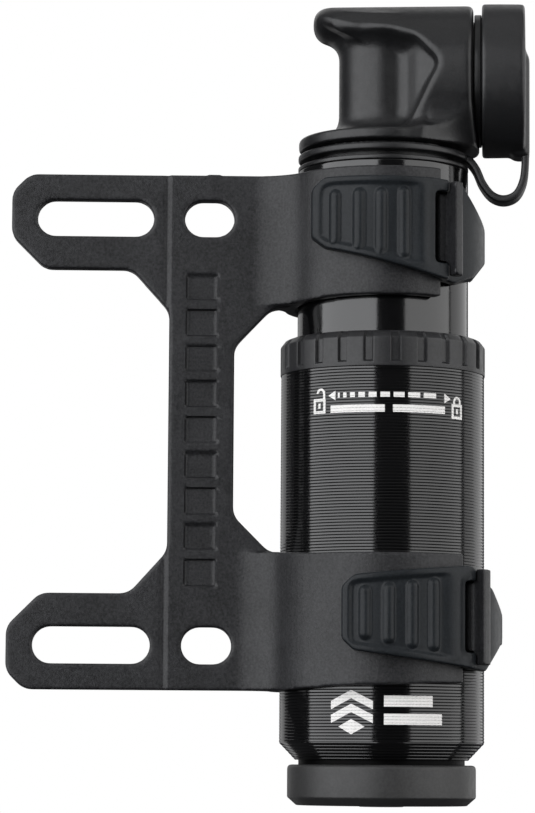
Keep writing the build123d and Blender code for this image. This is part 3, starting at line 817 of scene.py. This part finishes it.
def notched(radius, height, angle):
    """Cuts the collar's thumb notches into an outer point."""
    pitch = 2 * pi / NOTCHES
    offset = abs((angle - NOTCH_TURN + pitch / 2) % pitch - pitch / 2) * COLLAR_R
    depth = (1 - ease(offset, NOTCH_HALF - 0.12, NOTCH_HALF + 0.12)) * ease(
        height, NOTCH_LOW - 0.15, NOTCH_LOW + 0.2)
    return min(radius, max(radius - NOTCH_DEPTH * depth, COLLAR_R - NOTCH_DEPTH * depth - 0.9))


def make_collar():
    low, top = COLLAR_LOW, COLLAR_TOP
    outline = [(14.42, low), (COLLAR_R, low, 0.15)]
    outline += [(COLLAR_R, low + 0.35 + 0.15 * step) for step in range(24)]
    outline += [(COLLAR_R, 13.0, 0.6), (14.75, 13.85, 0.5), (14.1, top, 0.3), (13.0, top, 0.2),
                (13.0, 13.3), (14.1, 13.3), (14.1, 12.0), (13.0, 12.0), (13.0, 11.55),
                (14.42, 11.55)]
    turned = lathe("collar", outline, PUMP, segments=NOTCHES * 40, reshape=notched)
    place("notched_collar", turned, "collar_nylon", "grip", ["lock_collar"], sharp_angle=30)


def make_end_cap():
    low, top = END_CAP_LOW + 0.2, END_CAP_TOP
    outline = [(12.45, top), (END_CAP_R, top, 0.7), (END_CAP_R, low + 1.2, 0.4),
               (12.7, low, 0.4), (3.3, low), (3.3, low - 0.2, 0.08), (0, low - 0.2),
               (0, low + 1.9), (12.45, low + 1.9)]
    place("handle_end_cap", lathe("end_cap", outline, PUMP), "end_cap_rubber", "grip",
          ["end_cap"])


BARREL_BORE = 11.2
GUIDE_LOW, GUIDE_TOP = -42.6, -40.0      # the seat of the guide ring, on the outside
CLIP_LOW, CLIP_TOP = -42.7, -41.8        # the groove for the bush's clip, in the bore
NECK_BORE, NECK_R = 10.95, 12.9


def make_barrel():
    low, top = barrel_low.z, barrel_high.z
    seat, clip = BARREL_R - 0.5, 11.8
    outline = [(BARREL_BORE, low, 0.2), (BARREL_R, low, 0.3), (BARREL_R, GUIDE_LOW),
               (seat, GUIDE_LOW), (seat, GUIDE_TOP), (BARREL_R, GUIDE_TOP),
               (BARREL_R, top, 0.25), (BARREL_BORE, top), (BARREL_BORE, CLIP_TOP),
               (clip, CLIP_TOP), (clip, CLIP_LOW), (BARREL_BORE, CLIP_LOW)]
    place("pump_barrel", lathe("barrel", outline, PUMP, segments=180), "anodised_black", "root",
          ["barrel"])
    ring_low, ring_top = (corner.z for corner in size_of("neck_ring"))
    ring = [(NECK_BORE, ring_low), (NECK_R, ring_low, 0.2), (NECK_R, ring_top, 0.25),
            (NECK_BORE, ring_top)]
    place("neck_seal_ring", lathe("neck_ring", ring, PUMP, segments=180), "seal_rubber", "root",
          ["neck_ring"])


# ---- markings ----------------------------------------------------------------------------------
def box_shape(x, z, width, height):
    return [(x, z), (x + width, z), (x + width, z + height), (x, z + height)]


def arc_shape(x, z, inner, outer, start, end, steps=10):
    """A bent bar about (x, z)."""
    turns = [radians(start + (end - start) * step / steps) for step in range(steps + 1)]
    return ([(x + outer * cos(t), z + outer * sin(t)) for t in turns]
            + [(x + inner * cos(t), z + inner * sin(t)) for t in reversed(turns)])


def padlock(x, z, opened):
    """A plain padlock: a frame with a keyhole bar, and a shackle that may stand open."""
    width, height, line = 2.2, 2.2, 0.4
    inner, outer, leg = 0.42, 0.78, 0.36
    shackle_x = x + width / 2 + (0.25 if opened else 0.0)
    shackle_z = z + height + (0.75 if opened else 0.35)
    shapes = [
        box_shape(x, z, width, line),
        box_shape(x, z + height - line, width, line),
        box_shape(x, z + line, line, height - 2 * line),
        box_shape(x + width - line, z + line, line, height - 2 * line),
        box_shape(x + width / 2 - 0.2, z + 0.75, 0.4, 0.75),
        arc_shape(shackle_x, shackle_z, inner, outer, 0, 180),
        box_shape(shackle_x + inner, z + height, leg, shackle_z - z - height),
    ]
    if not opened:
        shapes.append(box_shape(shackle_x - outer, z + height, leg, shackle_z - z - height))
    return shapes


ETCH_RISE = 0.03
ETCH_SINK = -0.04
ETCH_STEP = 0.5              # how far apart the cuts stand that let a shape bend round the sleeve
ETCH_REACH = 26              # cuts to either side of the front


def etched(name, shapes):
    """Flat shapes in (arc length from the front, height) laid on the sleeve as a thin layer."""
    shape = bmesh.new()
    for outline in shapes:
        shape.faces.new([shape.verts.new((x, 0, z)) for x, z in outline])
    bmesh.ops.recalc_face_normals(shape, faces=shape.faces)
    low = min(vert.co.z for vert in shape.verts)
    high = max(vert.co.z for vert in shape.verts)
    cuts = [((column * ETCH_STEP, 0, 0), (1, 0, 0))
            for column in range(-ETCH_REACH, ETCH_REACH + 1)]
    first = int(low / (RING_PITCH / 2)) - 1
    last = int(high / (RING_PITCH / 2)) + 1
    cuts += [((0, 0, row * RING_PITCH / 2), (0, 0, 1)) for row in range(first, last + 1)]
    for point, normal in cuts:
        parts = shape.verts[:] + shape.edges[:] + shape.faces[:]
        bmesh.ops.bisect_plane(shape, geom=parts, plane_co=point, plane_no=normal)
    grown = bmesh.ops.extrude_face_region(shape, geom=shape.faces[:])
    for part in grown["geom"]:
        if isinstance(part, bmesh.types.BMVert):
            part.co.y = 1
    for vert in shape.verts:
        radius = ringed_radius(vert.co.z) + (ETCH_RISE if vert.co.y > 0.5 else ETCH_SINK)
        x, y = round_pump(radius, vert.co.x / SLEEVE_R * 180 / pi)
        vert.co = Vector((x, y, vert.co.z)) * MM
    bmesh.ops.recalc_face_normals(shape, faces=shape.faces)
    mesh = bpy.data.meshes.new(name)
    shape.to_mesh(mesh)
    shape.free()
    place(name, mesh, "anodised_black", "grip", material=ETCHED, sharp_angle=30)


def make_markings():
    """The lock scale with its padlocks, and plain shapes where the photo has names."""
    row = 4.1
    arrow = [[(-9.3, row + 0.35), (-8.1, row - 0.35), (-8.1, row + 1.05)],
             [(10.0, row + 0.1), (8.8, row - 0.6), (8.8, row + 0.8)]]
    x = -7.7
    for index in range(9):
        width = 0.30 + 0.22 * index
        arrow.append(box_shape(x, row, width, 0.75))
        x += width + 0.55
    etched("lock_scale", padlock(-12.0, 1.9, True) + padlock(10.2, 1.3, False) + arrow
           + [box_shape(-8.9, 1.9, 8.3, 1.1), box_shape(0.6, 1.9, 8.3, 1.1)])
    badge = [[(-8.6, -40.2), (-5.4, -38.6), (-2.2, -40.2), (-2.2, -41.4), (-5.4, -39.8),
              (-8.6, -41.4)],
             [(-8.6, -42.2), (-5.4, -40.6), (-2.2, -42.2), (-2.2, -43.4), (-5.4, -41.8),
              (-8.6, -43.4)],
             [(-5.4, -42.8), (-3.4, -43.9), (-5.4, -45.0), (-7.4, -43.9)]]
    lines = [box_shape(-0.6, -41.0, 7.4, 1.6), box_shape(-0.6, -43.6, 9.0, 1.6)]
    etched("maker_badge", badge + lines)


# ---- check valve spring ------------------------------------------------------------------------
def make_valve_spring():
    """The check valve's spring, on a mesh of its own."""
    spring = place("valve_spring", copy_of("check_spring"), "spring_steel", "root",
                   ["check_spring"])
    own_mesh(spring)


# ---- CAD pieces that keep their shape ----------------------------------------------------------
def finish_cad_nodes():
    """Each CAD node that still shows takes its record slot's detailed material, except the handle plug, which
    takes a near-black, unreflecting one as painted shade.
    """
    slot_of = {entry["node"]: entry["material_slot"] for entry in frame["record"]["subparts"]}
    own = {"handle_plug": PLUG_BLACK}
    for name, node in frame["nodes"].items():
        if node.hide_render:
            continue
        node.data.materials.clear()
        node.data.materials.append(own.get(name, MATERIALS[slot_of[name]]))


make_bracket()
make_strap(UPPER)
make_strap(LOWER)
make_head()
make_tether()
make_cap()
make_chuck()
make_sleeve()
make_collar()
make_end_cap()
make_barrel()
make_markings()
make_valve_spring()
finish_cad_nodes()


# ---- studio ------------------------------------------------------------------------------------
CAMERA_AT = Vector((-3.998, -491.933, -49.517)) * MM
CAMERA_TARGET = Vector((8.85, -3.0, 3.70)) * MM
CAMERA_ROLL = radians(0.39)
LENS = 145.9
SENSOR = 36


def make_camera():
    camera = bpy.data.cameras.new("camera")
    camera.lens = LENS
    camera.sensor_width = SENSOR
    camera.clip_start = 0.01
    camera.clip_end = 20
    holder = bpy.data.objects.new("camera", camera)
    bpy.context.scene.collection.objects.link(holder)
    ahead = (CAMERA_TARGET - CAMERA_AT).normalized()
    right = ahead.cross(Vector((0, 0, 1))).normalized()
    up = right.cross(ahead)
    tilted_right = right * cos(CAMERA_ROLL) + up * sin(CAMERA_ROLL)
    tilted_up = up * cos(CAMERA_ROLL) - right * sin(CAMERA_ROLL)
    turn = Matrix((tilted_right, tilted_up, -ahead)).transposed().to_4x4()
    holder.matrix_world = Matrix.Translation(CAMERA_AT) @ turn
    bpy.context.scene.camera = holder


def softbox(name, azimuth, elevation, distance, width, height, radiance, tint=(1, 1, 1)):
    """A panel that faces the object. Azimuth 0 is in front and grows towards +X."""
    light = bpy.data.lights.new(name, "AREA")
    light.shape = "RECTANGLE"
    light.size = width
    light.size_y = height
    light.energy = radiance * pi * width * height
    light.color = tint
    holder = bpy.data.objects.new(name, light)
    bpy.context.scene.collection.objects.link(holder)
    a, e = radians(azimuth), radians(elevation)
    back = Vector((sin(a) * cos(e), -cos(a) * cos(e), sin(e)))
    holder.location = AXIS * MM + back * distance
    holder.rotation_mode = "QUATERNION"
    holder.rotation_quaternion = (-back).to_track_quat("-Z", "Y")
    holder.visible_camera = False


def make_studio():
    softbox("left_panel", -52.5, 13, 0.80, 1.33, 1.15, 3.1, (0.99, 1.0, 1.02))
    softbox("right_panel", 62, 13, 0.80, 1.10, 1.15, 2.1)
    softbox("side_panel", 128, 10, 0.80, 0.80, 1.1, 0.95)
    softbox("rim_panel", -156, 10, 0.80, 0.36, 1.1, 0.5)
    softbox("top_panel", 0, 78, 0.90, 1.0, 0.8, 0.55)
    softbox("back_panel", 180, 42, 0.95, 0.9, 0.6, 0.6)
    world = bpy.data.worlds.new("studio")
    world.use_nodes = True
    nodes, links = world.node_tree.nodes, world.node_tree.links
    room = nodes["Background"]
    room.inputs["Color"].default_value = (0.045, 0.045, 0.048, 1)
    backdrop = nodes.new("ShaderNodeBackground")
    backdrop.inputs["Color"].default_value = (1, 1, 1, 1)
    seen = nodes.new("ShaderNodeLightPath")
    mix = nodes.new("ShaderNodeMixShader")
    links.new(seen.outputs["Is Camera Ray"], mix.inputs["Fac"])
    links.new(room.outputs["Background"], mix.inputs[1])
    links.new(backdrop.outputs["Background"], mix.inputs[2])
    links.new(mix.outputs["Shader"], nodes["World Output"].inputs["Surface"])
    bpy.context.scene.world = world


FLOOR_R = 3.0
FLOOR_GAP = 0.001
GLOW_AT = (0.03, 0.30)       # distances from the pump, in metres, between which the glow grows
GLOW = (0.72, 1.0)


def make_floor():
    """A round pale floor, low enough for the handle's full stroke."""
    level = cad_low.z - joint_named("handle_stroke")["range_m"][1] - FLOOR_GAP
    shape = bmesh.new()
    bmesh.ops.create_circle(shape, cap_ends=True, segments=96, radius=FLOOR_R)
    mesh = bpy.data.meshes.new("floor")
    shape.to_mesh(mesh)
    shape.free()
    floor = bpy.data.objects.new("floor", mesh)
    floor.location = (AXIS.x * MM, AXIS.y * MM, level)
    bpy.context.scene.collection.objects.link(floor)
    material, nodes, links, shader, coordinates = new_material("pale_floor")
    shader.inputs["Base Color"].default_value = (0.85, 0.85, 0.85, 1)
    shader.inputs["Roughness"].default_value = 0.9
    shader.inputs["Emission Color"].default_value = (1, 1, 1, 1)
    away = nodes.new("ShaderNodeVectorMath")
    away.operation = "LENGTH"
    links.new(coordinates, away.inputs[0])
    glow = map_range(nodes, links, away.outputs["Value"], *GLOW_AT, *GLOW)
    links.new(glow, shader.inputs["Emission Strength"])
    mesh.materials.append(material)
    floor.visible_diffuse = False
    floor.visible_glossy = False


make_camera()
make_studio()
make_floor()
bpy.context.scene.view_settings.view_transform = "Standard"
